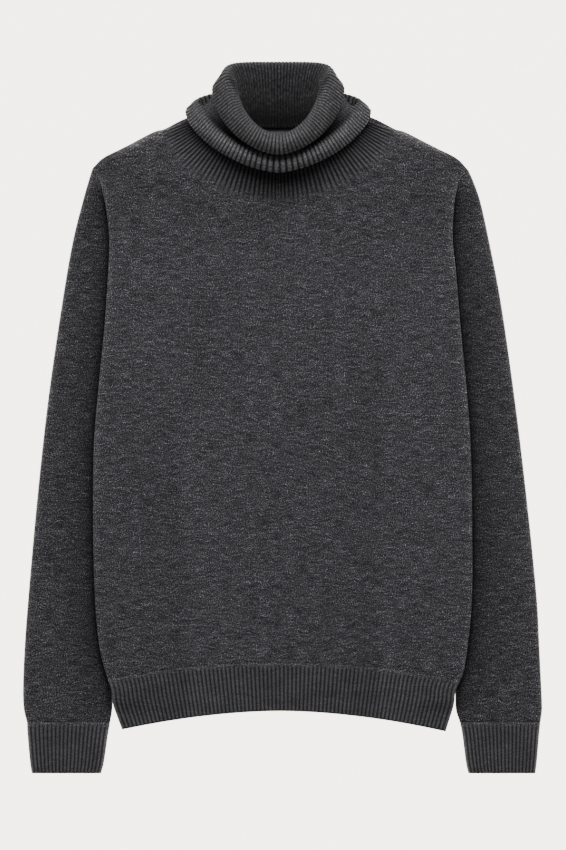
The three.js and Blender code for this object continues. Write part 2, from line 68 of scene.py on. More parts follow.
BODY_EDGE = table(
    "y left right",
    (261, -200, 194.5),
    (250, -192.2, 186.4),
    (235, -188, 181.7),
    (219, -184.8, 179.6),
    (187, -181.7, 178.5),
    (156, -182.7, 181.7),
    (93, -186.9, 186.9),
    (30, -193.2, 193.2),
    (-33, -198, 197.4),
    (-128, -198.5, 199),
    (-191, -196.4, 198.5),
    (-238, -192.2, 194.3),
    (-269, -184.8, 189),
    (-285, -179.6, 181.7),
    (-301, -177.5, 179.6),
    (-328, -168, 171.5),
)
SHOULDER_LINE = table(
    "reach y",
    (84, 321),
    (102, 314),
    (123, 303),
    (146, 292.4),
    (168, 281.9),
    (187, 271.9),
    (197.5, 261),
)
SLEEVE_EDGE = table(
    "y left_outer left_inner right_inner right_outer slant",
    (261, -200, -112, 108, 195, 34),
    (250, -203.5, -108, 105, 200, 28),
    (229, -209.5, -103, 101, 207.4, 18),
    (187, -220, -98, 97, 216.8, 6),
    (124, -231, -97, 97, 229, 0),
    (19, -246.2, -121, 121, 244.1, 0),
    (-86, -257.8, -144.4, 145, 256.7, 0),
    (-191, -267.2, -165.4, 166.5, 267.2, 0),
    (-240, -270.8, -174.5, 176, 269.7, 0),
    (-285, -272.5, -178, 181, 271.9, 0),
    (-305, -271.6, -178.6, 181.8, 272.5, 0),
    (-318.7, -268.4, -180.8, 186, 270.8, 0),
)
CUFF_EDGE = table(
    "y left_outer left_inner right_inner right_outer slant",
    (-319, -268.3, -180.9, 186.2, 270.7, 0),
    (-330, -267.8, -182.8, 188.4, 269.6, 0),
    (-362, -264.9, -187.6, 192.6, 266.8, 0),
    (-372.2, -263.2, -190.4, 194.9, 265.4, 0),
)
SLEEVE_HEAD = {"reach": 105, "y": 252, "slope": 0.295}
HEM_RAMP = {"low": -311, "high": -291}
HEM_TOP = {"middle": -256.7, "drop": 18, "reach": 185, "power": 2.2}
HEM_BOTTOM = {"middle": -306.8, "drop": 20.5, "reach": 170, "power": 1.8}
NECK_FRONT = {"half": 84, "side": 316, "front": 274.6, "lean": 1.15}
YOKE_EDGE = {"half": 122, "side": 303, "front": 225, "lean": 1.2}
NECK_BACK = {"half": 82, "dip": 307.5, "side": 318, "power": 6}
COLLAR_RINGS = table(
    "half side front back z_front z_side z_back front_power back_power",
    (86, 320, 272, 308, 11.2, 8.4, 1.1, 1.87, 2.6),
    (93, 322, 263, 324, 13.2, 10.9, 1.1, 1.7, 2.6),
    (96.5, 321, 258.3, 337, 18, 13.5, 1.1, 1.55, 2.3),
    (91.5, 324, 264.5, 344.5, 23.6, 18.5, 2.6, 1.52, 2.4),
    (85.5, 330, 271.5, 341, 21, 16.5, 4.1, 1.5, 2.6),
    (80, 333, 276.5, 318.5, 11.5, 9.2, 4.1, 1.55, 2.8),
    (64, 339, 286.5, 307.2, 12, 11.8, 4.3, 1.65, 3.2),
    (49.5, 347, 295.4, 307.2, 16, 14.5, 6.9, 1.8, 3.6),
    (44.3, 354, 297, 327, 27, 21, 8.5, 1.87, 4),
    (47.5, 354, 292.6, 355, 34.6, 27.5, 16.5, 1.85, 4.5),
    (53.5, 355.5, 286.4, 371.4, 36.8, 29.8, 18, 1.8, 6),
    (62.5, 349, 279.6, 370.8, 34.2, 27.6, 12.5, 1.76, 2.8),
    (68.3, 344, 276.8, 362, 29.6, 22.6, 5, 1.74, 2.5),
    (67, 343, 279, 352, 25.8, 18.4, 1.1, 1.74, 2.5),
)
NECK_TAPE = {"half": 23, "low": 293, "high": 305, "top": 3.5}
CREST_RING = 10  # the row of the table on which the ribs are spaced
OUTSIDE_RINGS = 5.5  # up to here the rings show the outside of the tube, and then its inside

# Soft troughs, with negative depths for ridges. A fold runs from its start to its end.
BODY_FOLDS = table(
    "x y x_end y_end width depth",
    (-116, 10, -95, -300, 15, 1.5),
    (106, 20, 104, -320, 13, 1.6),
    (-58, -40, -88, -215, 21, 0.8),
    (38, 66, 82, -110, 23, 0.7),
    (-26, 148, -104, 62, 17, 0.6),
    (66, 188, 122, 96, 14, 0.6),
    (6, -70, 14, -262, 27, -0.6),
)
# The same on the hidden back, as hollows above the surface.
BACK_FOLDS = table(
    "x y x_end y_end width depth",
    (-52, 104, -71, -146, 18, 0.8),
    (61, 38, 43, -205, 20, 0.9),
    (12, 182, 31, 58, 14, 0.6),
)
SLEEVE_FOLDS = table(
    "x y x_end y_end width depth",
    (-212, 152, -188, 84, 9, 0.7),
    (-232, 58, -196, -12, 11, 1),
    (-254, -66, -214, -152, 12, 1.1),
    (-240, -214, -222, -276, 8, 0.6),
    (208, 166, 190, 112, 8, 0.6),
    (226, 42, 198, -44, 11, 1),
    (250, -92, 214, -188, 12, 0.9),
)
# Lines of painted fold shade, darker on their left and lighter on their right, from y down to y_end.
FOLD_SHADE_LINES = table(
    "x y x_end y_end strength",
    (-113, 0, -99, -230, 0.1),
    (103, 0, 101, -230, 0.1),
)
# Painted highlight and shade round the section of the collar, by the row of the table of rings: lighter on the crests
# of the rolls, dark in the valley between them and under their edges.
ROLL_PAINTED_SHADE = table(
    "ring tone",
    (0, 1),
    (1, 1.2),
    (2, 1.35),
    (2.6, 1.28),
    (3.1, 1.25),
    (3.7, 1.15),
    (4.3, 0.6),
    (5, 0.3),
    (6.6, 0.3),
    (7.4, 0.4),
    (8.2, 0.62),
    (9, 0.82),
    (9.8, 0.92),
    (10.6, 0.85),
    (11.4, 0.7),
    (12.2, 0.5),
    (13, 0.3),
)
# Painted highlight along the edges of the pieces, as a share of their colour.
EDGE_HIGHLIGHT = 0.25
# Painted shade between the ribs: where its full dark ends and where it fades out, as shares of the ribs' pitch.
GROOVE_REACH = (0.02, 0.42)  # a groove's dark and its end, as shares of the ribs' pitch
# Depths of the painted shade between ribs: deep on the yoke and collar, soft on the hem and cuffs.
DEEP_GROOVE_SHADE = 0.96
SOFT_GROOVE_SHADE = 0.8
RIB_NAP = 0.36
PLAIN_TO_RIB = 0.53  # share of the light from the plain knit that makes the ribs' wool look the same
CUFF_START = (-324, -318.7)  # the ribs of a cuff rise over this stretch
# The shoulder tips: the stretch up and out in which the crease fades, and its width at the tip.
TIP_RISE = (228, 262)
TIP_REACH = (120, 185)
TIP_WIDTH = 45
SHOULDER_SHARE = 0.2  # of the front's columns, on each side of the yoke
COLUMN_LEAN = 0.03


def linear(code):
    """A linear colour from an sRGB hex value."""
    parts = [int(code[i : i + 2], 16) / 255 for i in (1, 3, 5)]
    return [p / 12.92 if p <= 0.04045 else ((p + 0.055) / 1.055) ** 2.4 for p in parts] + [1]


class SweaterSizes(bpy.types.PropertyGroup):
    """Sizes of the knit, in metres and counts."""

    wall: FloatProperty(name="Wall", description="Thickness of the cloth", default=0.0012, unit="LENGTH")
    rib_height: FloatProperty(name="Rib height", description="Rise of a rib", default=0.0009, unit="LENGTH")
    hem_ribs: IntProperty(name="Hem ribs", description="Ribs across the hem", default=84)
    cuff_ribs: IntProperty(name="Cuff ribs", description="Ribs across a cuff", default=20)
    yoke_ribs: IntProperty(name="Yoke ribs", description="Ribs below the collar", default=66)
    collar_ribs: IntProperty(name="Collar ribs", description="Ribs round the collar", default=96)


class SweaterColours(bpy.types.PropertyGroup):
    """Colours of the knit, the tape and the floor."""

    wool: FloatVectorProperty(name="Wool", description="Plain knit of the body and the sleeves", subtype="COLOR",
                              size=3, min=0, max=1, default=linear("#3d3c3f")[:3])
    # Lighter than the plain wool: the painted shade between the ribs brings them back near the plain knit, and their
    # crests stay lighter than it.
    rib: FloatVectorProperty(name="Rib", description="Crests of the ribs", subtype="COLOR", size=3, min=0, max=1,
                             default=linear("#59585b")[:3])
    tape: FloatVectorProperty(name="Tape", description="Woven tape in the neck", subtype="COLOR", size=3, min=0,
                              max=1, default=linear("#646466")[:3])
    floor: FloatVectorProperty(name="Floor", description="Paper under the sweater", subtype="COLOR", size=3, min=0,
                               max=1, default=linear("#efebe0")[:3])


# Numbers


def smooth(value, start, end):
    """0 before start, 1 after end, and a soft step between them."""
    t = np.clip((value - start) / (end - start), 0, 1)
    return t * t * (3 - 2 * t)


def lerp(a, b, t):
    return a + (b - a) * t


def curve_of(rows, key, column):
    """A smooth curve through one column of a table, read at values of its key column."""
    rows = sorted(rows, key=lambda row: row[key])
    at = np.array([row[key] for row in rows], float)
    value = np.array([row[column] for row in rows], float)
    before = np.maximum(np.arange(len(at)) - 1, 0)
    after = np.minimum(np.arange(len(at)) + 1, len(at) - 1)
    slope = (value[after] - value[before]) / (at[after] - at[before])

    def read(place):
        x = np.clip(place, at[0], at[-1])
        i = np.clip(np.searchsorted(at, x) - 1, 0, len(at) - 2)
        span = at[i + 1] - at[i]
        t = (x - at[i]) / span
        rise = value[i] * (1 + 2 * t) * (1 - t) ** 2 + value[i + 1] * t * t * (3 - 2 * t)
        return rise + span * (slope[i] * t * (1 - t) ** 2 - slope[i + 1] * t * t * (1 - t))

    return read


body_left = curve_of(BODY_EDGE, "y", "left")
body_right = curve_of(BODY_EDGE, "y", "right")
shoulder_y = curve_of(SHOULDER_LINE, "reach", "y")
sleeve_outer_left = curve_of(SLEEVE_EDGE, "y", "left_outer")
sleeve_outer_right = curve_of(SLEEVE_EDGE, "y", "right_outer")
sleeve_inner_left = curve_of(SLEEVE_EDGE, "y", "left_inner")
sleeve_inner_right = curve_of(SLEEVE_EDGE, "y", "right_inner")
roll_painted_shade = curve_of(ROLL_PAINTED_SHADE, "ring", "tone")


def arched(line, x):
    return line["middle"] - line["drop"] * np.abs((x - MIDDLE) / line["reach"]) ** line["power"]


# Heights of the body


def over_sleeve(x, y):
    """1 where a sleeve lies under the body, falling to 0 where the body lies on the surface."""
    left = smooth(sleeve_inner_left(y) + DRAPE_WIDTH - x, 0, DRAPE_WIDTH)
    right = smooth(x - (sleeve_inner_right(y) - DRAPE_WIDTH), 0, DRAPE_WIDTH)
    reach = np.abs(x - MIDDLE)
    head = SLEEVE_HEAD["y"] + (reach - SLEEVE_HEAD["reach"]) * SLEEVE_HEAD["slope"]
    hem = smooth(y, HEM_RAMP["low"], HEM_RAMP["high"])
    return np.maximum(left, right) * hem * (1 - smooth(y - head, 0, DRAPE_WIDTH))


def lift(x, y):
    return (SLEEVE_HEIGHT + 2 * SEAM) * over_sleeve(x, y)


def fold_depth(folds, x, y):
    """How deep the soft folds of a table are at a place."""
    total = np.zeros_like(x)
    for fold in folds:
        start = np.array([fold["x"], fold["y"]], float)
        along = np.array([fold["x_end"], fold["y_end"]], float) - start
        share = ((x - start[0]) * along[0] + (y - start[1]) * along[1]) / along.dot(along)
        off = ((x - start[0]) * along[1] - (y - start[1]) * along[0]) / np.hypot(*along)
        fade = smooth(share, 0, 0.35) * (1 - smooth(share, 0.9, 1.15))
        total += fold["depth"] * fade * np.exp(-((off / fold["width"]) ** 2))
    return total


def puff(x, y):
    across = np.maximum(1 - ((x - MIDDLE) / 200) ** 2, 0)
    return BODY_PUFF * across * smooth(y, -300, -150)


def edge_distance(x, y):
    """Distance in from the side and shoulder seams."""
    from_shoulder = 0.9 * (shoulder_y(np.abs(x - MIDDLE)) - y)
    nearest = np.minimum(np.minimum(x - body_left(y), body_right(y) - x), from_shoulder)
    return np.maximum(nearest, 0)


def near_tip(x, y):
    """1 at a shoulder tip, where the body runs on into the sleeve, falling to 0 along the crease."""
    return smooth(y, *TIP_RISE) * smooth(np.abs(x - MIDDLE), *TIP_REACH)


def side_distance(x, y):
    return np.maximum(np.minimum(x - body_left(y), body_right(y) - x), 0)


def ripple(x, y):
    """The slight unevenness of cloth that was laid out by hand."""
    return 0.22 * np.sin(x / 31 + y / 83) + 0.2 * np.sin(x / 47 - y / 39 + 1.3) + 0.15 * np.sin(x / 17 + y / 151 + 0.4)


def back_low(x, y):
    """The lower side of the back, which dips where it runs out onto a sleeve's head."""
    dip = near_tip(x, y) * (1 - smooth(side_distance(x, y), 0, TIP_WIDTH))
    return lift(x, y) * (1 - 0.5 * dip) + fold_depth(BACK_FOLDS, x, y)


def front_top(x, y):
    """The outer side of the front, rounded down to the back at the side and shoulder seams."""
    top = BODY_HEIGHT + lift(x, y) + puff(x, y) - fold_depth(BODY_FOLDS, x, y) + ripple(x, y)
    low = SOLID_WALL + lift(x, y) + 2 * SEAM
    share = np.minimum(edge_distance(x, y) / EDGE_ROUND, 1)
    rounded = low + (top - low) * np.sqrt(1 - (1 - share) ** 2)
    sleeve_low = SLEEVE_HEIGHT - SEAM
    soft = sleeve_low + (top - sleeve_low) * smooth(side_distance(x, y), -6, TIP_WIDTH)
    return lerp(rounded, np.minimum(soft, rounded), near_tip(x, y))


# Painted shade and light on the cloth: painted shade in creases and under the collar, and painted highlights at the
# edges


def painted_fold_shade(x, y):
    """Painted fold shade: darker on the left of each fold line and lighter on its right."""
    tone = np.zeros_like(x)
    for ridge in FOLD_SHADE_LINES:
        line = lerp(ridge["x"], ridge["x_end"], np.clip((ridge["y"] - y) / (ridge["y"] - ridge["y_end"]), 0, 1))
        off = x - line
        strength = ridge["strength"] * (1 - smooth(y, ridge["y"] - 20, ridge["y"] + 60))
        tone += strength * np.tanh(off / 4) * np.exp(-np.abs(off) / 34)
    return tone


# Painted highlight along an edge, fading out within a few millimetres of it.
def painted_edge_highlight(distance):
    return EDGE_HIGHLIGHT * np.exp(-((distance / 5) ** 2))


def front_painted_shade(x, y):
    """Painted shade on the front: a painted shadow under the lower roll that is deepest and widest in the middle,
    painted highlights at the edges, painted fold shade, and painted shade darkening it towards the collar.
    """
    ring = COLLAR_RINGS[2]
    across = np.abs(x - COLLAR_MIDDLE) / ring["half"]
    drop = ring["side"] - ring["front"]
    down = np.maximum(ring["side"] - y, 0) / drop
    power = ring["front_power"]
    out = np.maximum((across**power + down**power) ** (1 / power) - 1, 0) * drop
    middle = np.exp(-((across / 0.8) ** 2))
    # Painted shadow under the lower roll.
    roll_shadow = lerp(0.4, 0.76, middle) * (1 - smooth(out, lerp(0, 8, middle), lerp(26, 50, middle)))
    # Painted shade on the upper front, darker towards the collar.
    chest_shade = lerp(1, 0.84, smooth(y, 150, 240))
    return (1 + painted_edge_highlight(edge_distance(x, y)) + painted_fold_shade(x, y)) * (1 - roll_shadow) * chest_shade


def sleeve_painted_shade(x, y):
    """Painted shade, darkest in the crease beside the body and lighter outwards, and a painted highlight at the outer
    edge.
    """
    out = np.maximum(np.maximum(body_left(y) - x, x - body_right(y)), 0)
    # Painted shade in the crease beside the body, which also darkens the whole sleeve a little and fades out towards
    # the cuff.
    crease = 0.1 + 0.6 * (1 - np.exp(-out / 8.5)) + 0.22 * smooth(out, 10, 60)
    crease = lerp(crease, 0.9, 1 - smooth(y, -330, -295))
    # Painted highlight along the outer edge.
    rim_highlight = painted_edge_highlight(np.minimum(x - sleeve_outer_left(y), sleeve_outer_right(y) - x))
    return lerp(crease, 1, smooth(y, 225, 262)) + rim_highlight


def collar_painted_shade(ring, turn, y):
    """Painted highlight along the crests of the two rolls, painted shade in the valley between them, lighter towards
    the back of the neck, and painted shade down inside the neck, darkest towards its front.
    """
    band = roll_painted_shade(ring)
    beside = smooth(y, 304, 332) * (1 - smooth(ring, 6.4, 7))
    band = lerp(band, 1.1, beside)
    rear = smooth(np.sin(2 * np.pi * turn), -0.5, 0.1)
    end = lerp(7.7, 9.6, rear)
    inside = smooth(ring, 6.6, 7.4) * (1 - smooth(ring, end, end + 0.7))
    return lerp(band, lerp(0.07, 0.46, smooth(y, 309, 344)), inside)


# Outlines of the body


def half_ring(ring, turn):
    """A point on the front half of a ring round the neck. Turn 0 is the left shoulder, 1 the right."""
    across = -np.sign(np.cos(np.pi * turn)) * np.abs(np.cos(np.pi * turn)) ** ring["lean"]
    return COLLAR_MIDDLE + ring["half"] * across, lerp(ring["side"], ring["front"], np.sin(np.pi * turn))


def side_end(edge, line):
    """The height at which an arched line meets a side edge."""
    y = line["middle"] - line["drop"]
    for _ in range(4):
        y = arched(line, edge(y))
    return y


def front_upper_line(u):
    """The front's upper line: along one shoulder, round the yoke, along the other shoulder."""
    tip = BODY_EDGE[0]
    yoke_turn = np.clip((u - SHOULDER_SHARE) / (1 - 2 * SHOULDER_SHARE), 0, 1)
    x, y = half_ring(YOKE_EDGE, yoke_turn)
    for side, tip_x in ((u, tip["left"]), (1 - u, tip["right"])):
        share = np.clip(side / SHOULDER_SHARE, 0, 1)
        on_shoulder = side < SHOULDER_SHARE
        shoulder_x = lerp(tip_x, x, share)
        line_y = lerp(shoulder_y(np.abs(shoulder_x - MIDDLE)), y, share**6)
        x = np.where(on_shoulder, shoulder_x, x)
        y = np.where(on_shoulder, line_y, y)
    return x, y


def body_patch(u, v, lower, upper, width_share):
    """Places in the body between a lower and an upper line, bowed near the sides as the outline is."""
    low_x, low_y = lower(width_share)
    high_x, high_y = upper(u)
    y = lerp(low_y, high_y, v)
    x = lerp(low_x, high_x, v)
    for edge, end, nearness in (
        (body_left, 0, np.maximum(1 - u / SHOULDER_SHARE, 0)),
        (body_right, 1, np.maximum(1 - (1 - u) / SHOULDER_SHARE, 0)),
    ):
        end = np.full_like(u, float(end))
        side_low = lower(end)[1]
        side_high = upper(end)[1]
        bow = edge(lerp(side_low, side_high, v)) - lerp(edge(side_low), edge(side_high), v)
        x = x + nearness * bow
    return x, y


def arched_across(line):
    left = body_left(side_end(body_left, line))
    right = body_right(side_end(body_right, line))

    def place(share):
        x = lerp(left, right, share)
        return x, arched(line, x)

    return place


# Meshes

# Place along the courses and the wales in millimetres, painted shade between the ribs, a colour scale carrying painted
# shade and highlights, and strength of the nap.
CLOTH_LAYERS = ("cloth_u", "cloth_v", "groove_shade", "tone", "nap")


def grid(bm, across, along):
    """Adds a grid whose columns and rows are at the given numbers, as arrays over its vertices."""
    for name in CLOTH_LAYERS:
        if name not in bm.verts.layers.float:
            bm.verts.layers.float.new(name)
    made = bmesh.ops.create_grid(bm, x_segments=len(across) - 1, y_segments=len(along) - 1, size=0.5)
    u, v = np.meshgrid(across, along)
    return made["verts"], u, v


def normals_of(points, closed):
    """Unit normals of a grid of points."""
    if closed:
        ring = np.concatenate([points[:, -2:-1], points, points[:, 1:2]], axis=1)
        across = (ring[:, 2:] - ring[:, :-2])
    else:
        across = np.gradient(points, axis=1)
    along = np.gradient(points, axis=0)
    normal = np.cross(across, along)
    return normal / np.maximum(np.linalg.norm(normal, axis=2, keepdims=True), 1e-9)


def rib_profile(phase):
    """Round ribs with narrow grooves: 0 in a groove and 1 on a crest."""
    return np.abs(np.sin(np.pi * phase)) ** 0.8


def rib_groove_shade(phase, depth):
    """Painted shade between two ribs: how dark the cloth is painted, up to depth at the bottom between them."""
    away = np.abs(phase - np.round(phase))
    return depth * (1 - smooth(away, *GROOVE_REACH))


def place_grid(bm, verts, points, uv, groove_shade, tone=1.0, nap=1.0):
    """Moves a grid's vertices to their places, and keeps the values of the cloth's layers on them."""
    layers = [bm.verts.layers.float[name] for name in CLOTH_LAYERS]
    values = np.stack(np.broadcast_arrays(*uv, groove_shade, tone, nap), axis=-1).reshape(-1, len(layers))
    for vert, place, row in zip(verts, points.reshape(-1, 3) / METRE, values):
        vert.co = place
        for layer, value in zip(layers, row):
            vert[layer] = value


def finish_shell(name, bm, outward, material, wall):
    """Closes a grid's seams, turns its faces outwards and gives it the thickness of the cloth."""
    bmesh.ops.remove_doubles(bm, verts=bm.verts, dist=1e-6)
    bmesh.ops.recalc_face_normals(bm, faces=bm.faces)
    bm.faces.ensure_lookup_table()
    if outward(bm) < 0:
        bmesh.ops.reverse_faces(bm, faces=bm.faces)
    for face in bm.faces:
        face.smooth = True
    mesh = bpy.data.meshes.new(name)
    bm.to_mesh(mesh)
    bm.free()
    mesh.materials.append(material)
    piece = bpy.data.objects.new(name, mesh)
    bpy.context.collection.objects.link(piece)
    shell = piece.modifiers.new("Cloth wall", "SOLIDIFY")
    shell.thickness = wall
    shell.offset = -1
    even = piece.modifiers.new("Even shading", "WEIGHTED_NORMAL")
    even.mode = "FACE_AREA"
    return piece


def faces_up(bm):
    """Positive where most of a sheet's faces look up."""
    return sum(face.normal.z * face.calc_area() for face in bm.faces)


def faces_down(bm):
    return -faces_up(bm)


def faces_out(bm):
    return bm.calc_volume(signed=True)


# Materials


def add_node(tree, kind, settings=None, **links):
    """Adds a node with its settings, and links or sets its inputs, named with _ for a space."""
    made = tree.nodes.new(kind)
    for key, value in (settings or {}).items():
        setattr(made, key, value)
    for key, value in links.items():
        socket = made.inputs[int(key[1:])] if key[0] == "i" and key[1:].isdigit() else made.inputs[key.replace("_", " ")]
        if isinstance(value, bpy.types.NodeSocket):
            tree.links.new(value, socket)
        else:
            socket.default_value = value
    return made


def maths(tree, operation, first, second=0.0, clamp=False):
    made = add_node(tree, "ShaderNodeMath", {"operation": operation, "use_clamp": clamp}, i0=first, i1=second)
    return made.outputs[0]


def noise(tree, place, size, detail=2.0, roughness=0.5, distortion=0.0):
    """Noise whose grains are about size millimetres across."""
    made = add_node(tree, "ShaderNodeTexNoise", {"noise_dimensions": "2D"}, Vector=place, Scale=1 / size,
                    Detail=detail, Roughness=roughness, Distortion=distortion)
    return made.outputs["Fac"]


def scaled(tree, value, middle, gain):
    return maths(tree, "MULTIPLY", maths(tree, "SUBTRACT", value, middle), gain)


def fibres(tree, place, size):
    """Short curly fibres, as broken contour lines of a noise."""
    curl = noise(tree, place, size, 1.0, 0.6, 1.8)
    line = maths(tree, "ABSOLUTE", scaled(tree, curl, 0.5, 18.0))
    patches = noise(tree, place, size * 1.3, 0.0)
    broken = maths(tree, "MULTIPLY", maths(tree, "SUBTRACT", patches, 0.5), 6.0, clamp=True)
    return maths(tree, "MULTIPLY", maths(tree, "SUBTRACT", 1.0, line, clamp=True), broken)


def wool(name, colour):
    """Melange lambswool, knitted and lightly felted: short curly light fibres over an uneven dark ground."""
    material = bpy.data.materials.new(name)
    material.use_nodes = True
    tree = material.node_tree
    tree.nodes.clear()
    read = {}
    for layer in CLOTH_LAYERS:
        read[layer] = add_node(tree, "ShaderNodeAttribute", {"attribute_name": layer}).outputs["Fac"]
    place = add_node(tree, "ShaderNodeCombineXYZ", X=read["cloth_u"], Y=read["cloth_v"]).outputs[0]

    # The courses wander up and down a few millimetres, and are drawn as faint streaks 7 times as long as high.
    drift = add_node(tree, "ShaderNodeTexNoise", {"noise_dimensions": "2D"}, Vector=place, Scale=1 / 14, Detail=1.0)
    wander = add_node(tree, "ShaderNodeVectorMath", {"operation": "MULTIPLY_ADD"}, i0=drift.outputs["Color"],
                      i1=(0, 8, 0), i2=place).outputs[0]
    long_way = add_node(tree, "ShaderNodeMapping", Vector=wander, Scale=(1 / 7, 1, 1)).outputs[0]
    squat = add_node(tree, "ShaderNodeMapping", Vector=wander, Scale=(0.9, 1, 1)).outputs[0]
    speckle = noise(tree, place, 0.95, 0.0)
    coarse = fibres(tree, squat, 2.1)
    fine = fibres(tree, squat, 1.3)
    streak = noise(tree, long_way, 1.9, 1.0, 0.5)
    cloud = noise(tree, long_way, 8, 2.0, 0.6)

    # The pattern is in stops, and doubles the light that the wool gives back for each step of 1.
    pattern = maths(tree, "ADD", scaled(tree, speckle, 0.5, 7.0), scaled(tree, coarse, 0.12, 1.4))
    pattern = maths(tree, "ADD", pattern, scaled(tree, fine, 0.12, 1.6))
    pattern = maths(tree, "ADD", pattern, scaled(tree, streak, 0.5, 2.8))
    pattern = maths(tree, "ADD", maths(tree, "MULTIPLY", pattern, read["nap"]), scaled(tree, cloud, 0.5, 0.8))
    shade = maths(tree, "POWER", 2.0, pattern)

    # Painted shade: the wool is darkened in the grooves between ribs, and scaled by the cloth's painted shade and
    # highlights.
    after_groove_shade = maths(tree, "SUBTRACT", 1.0, read["groove_shade"], clamp=True)
    value = maths(tree, "MULTIPLY", shade, maths(tree, "MULTIPLY", after_groove_shade, read["tone"]))
    scaled_colour = add_node(tree, "ShaderNodeVectorMath", {"operation": "SCALE"}, i0=tuple(colour), Scale=value)

    height = maths(tree, "ADD", maths(tree, "MULTIPLY", speckle, 0.5), maths(tree, "MULTIPLY", coarse, 0.5))
    bump = add_node(tree, "ShaderNodeBump", Strength=0.5, Distance=0.0006, Height=height).outputs[0]
    shader = add_node(tree, "ShaderNodeBsdfPrincipled", Base_Color=scaled_colour.outputs[0], Normal=bump,
                      Roughness=0.95, Specular_IOR_Level=0.15, Sheen_Weight=0.15, Sheen_Roughness=0.4)
    add_node(tree, "ShaderNodeOutputMaterial", Surface=shader.outputs[0])
    return material


def plain_wool():
    name = "lambswool_plain_knit"
    return bpy.data.materials.get(name) or wool(name, bpy.context.scene.sweater_colours.wool)


def rib_wool():
    name = "lambswool_rib_knit"
    return bpy.data.materials.get(name) or wool(name, bpy.context.scene.sweater_colours.rib)


def tape_cotton():
    """Grey cotton tape in a fine diagonal weave, smoother and more even than the knit round it."""
    material = bpy.data.materials.new("cotton_neck_tape")
    material.use_nodes = True
    tree = material.node_tree
    tree.nodes.clear()
    place = add_node(tree, "ShaderNodeTexCoord").outputs["Object"]
    weave = add_node(tree, "ShaderNodeTexWave", {"bands_direction": "DIAGONAL"}, Vector=place, Scale=180.0)
    level = maths(tree, "ADD", maths(tree, "MULTIPLY", weave.outputs["Fac"], 0.2), 0.9)
    colour = add_node(tree, "ShaderNodeVectorMath", {"operation": "SCALE"},
                      i0=tuple(bpy.context.scene.sweater_colours.tape), Scale=level)
    shader = add_node(tree, "ShaderNodeBsdfPrincipled", Base_Color=colour.outputs[0], Roughness=0.8)
    add_node(tree, "ShaderNodeOutputMaterial", Surface=shader.outputs[0])
    return material


def cloth_piece(piece, nodes):
    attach(piece, "root")
    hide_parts(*nodes)


# Pieces


class SWEATER_OT_front(bpy.types.Operator):
    """Knit the front, with the ribs below the collar that end in the plain knit"""

    bl_idname = "sweater.knit_front"
    bl_label = "Knit the Front"

    def rib_fade(self, sizes, down, turn):
        """How far each rib has risen out of the plain knit. The ribs end unevenly, a few millimetres apart."""
        uneven = 0.008 * np.sin(2.4 * np.floor(turn * sizes.yoke_ribs))
        return smooth(down + uneven, 0.99, 1.03) * smooth(np.minimum(turn, 1 - turn), 0, 0.01)

    def raise_ribs(self, sizes, bm, verts, points, turn, fade):
        """Raises the ribs below the collar, by how far they have faded in, and places the grid."""
        x, y = points[..., 0], points[..., 1]
        # The ribs are lightened to make up for the painted shade between them, so their crests come out lighter than
        # the plain knit.
        tone = front_painted_shade(x, y) * (1 + 1.15 * fade)
        phase = turn * sizes.yoke_ribs
        rise = fade * sizes.rib_height * METRE * (rib_profile(phase) - 0.7)
        groove_shade = fade * rib_groove_shade(phase, DEEP_GROOVE_SHADE)
        raised = points + normals_of(points, False) * rise[..., None]
        place_grid(bm, verts, raised, (x, y), groove_shade, tone, lerp(1, RIB_NAP, fade))

    def execute(self, context):
        sizes = context.scene.sweater_sizes
        per_rib = 6
        yoke_columns = np.linspace(SHOULDER_SHARE, 1 - SHOULDER_SHARE, sizes.yoke_ribs * per_rib + 1)
        side = SHOULDER_SHARE * np.linspace(0, 1, 37) ** 1.6
        columns = np.concatenate([side[:-1], yoke_columns, (1 - side[:-1])[::-1]])
        rows = np.concatenate([np.linspace(0, 0.9, 66), np.linspace(0.9, 1, 18)[1:]])
        bm = bmesh.new()

        def width_share(u):
            left = front_upper_line(np.zeros(1))[0]
            right = front_upper_line(np.ones(1))[0]
            share = (front_upper_line(u)[0] - left) / (right - left)
            return share - COLUMN_LEAN * np.sin(2 * np.pi * share)

        verts, u, v = grid(bm, columns, rows)
        x, y = body_patch(u, v, arched_across(HEM_TOP), front_upper_line, width_share(u))
        points = np.stack([x, y, front_top(x, y)], axis=2)
        turn = (u - SHOULDER_SHARE) / (1 - 2 * SHOULDER_SHARE)
        in_yoke = (turn > 0) & (turn < 1)
        fade = np.where(in_yoke, self.rib_fade(sizes, v, turn), 0)
        self.raise_ribs(sizes, bm, verts, points, turn, fade)

        verts, u, v = grid(bm, yoke_columns, np.linspace(0, 1, 20))
        turn = (u - SHOULDER_SHARE) / (1 - 2 * SHOULDER_SHARE)
        low_x, low_y = half_ring(YOKE_EDGE, turn)
        high_x, high_y = half_ring(NECK_FRONT, turn)
        x, y = lerp(low_x, high_x, v), lerp(low_y, high_y, v)
        y = np.minimum(y, shoulder_y(np.abs(x - MIDDLE)))
        points = np.stack([x, y, front_top(x, y)], axis=2)
        fade = self.rib_fade(sizes, 1 + 0.1 * v, turn)
        self.raise_ribs(sizes, bm, verts, points, turn, fade)
        bmesh.ops.remove_doubles(bm, verts=bm.verts, dist=1e-4)
        piece = finish_shell("body_front", bm, faces_up, plain_wool(), sizes.wall)
        cloth_piece(piece, ["front_panel", "yoke_ribs"])
        return {"FINISHED"}


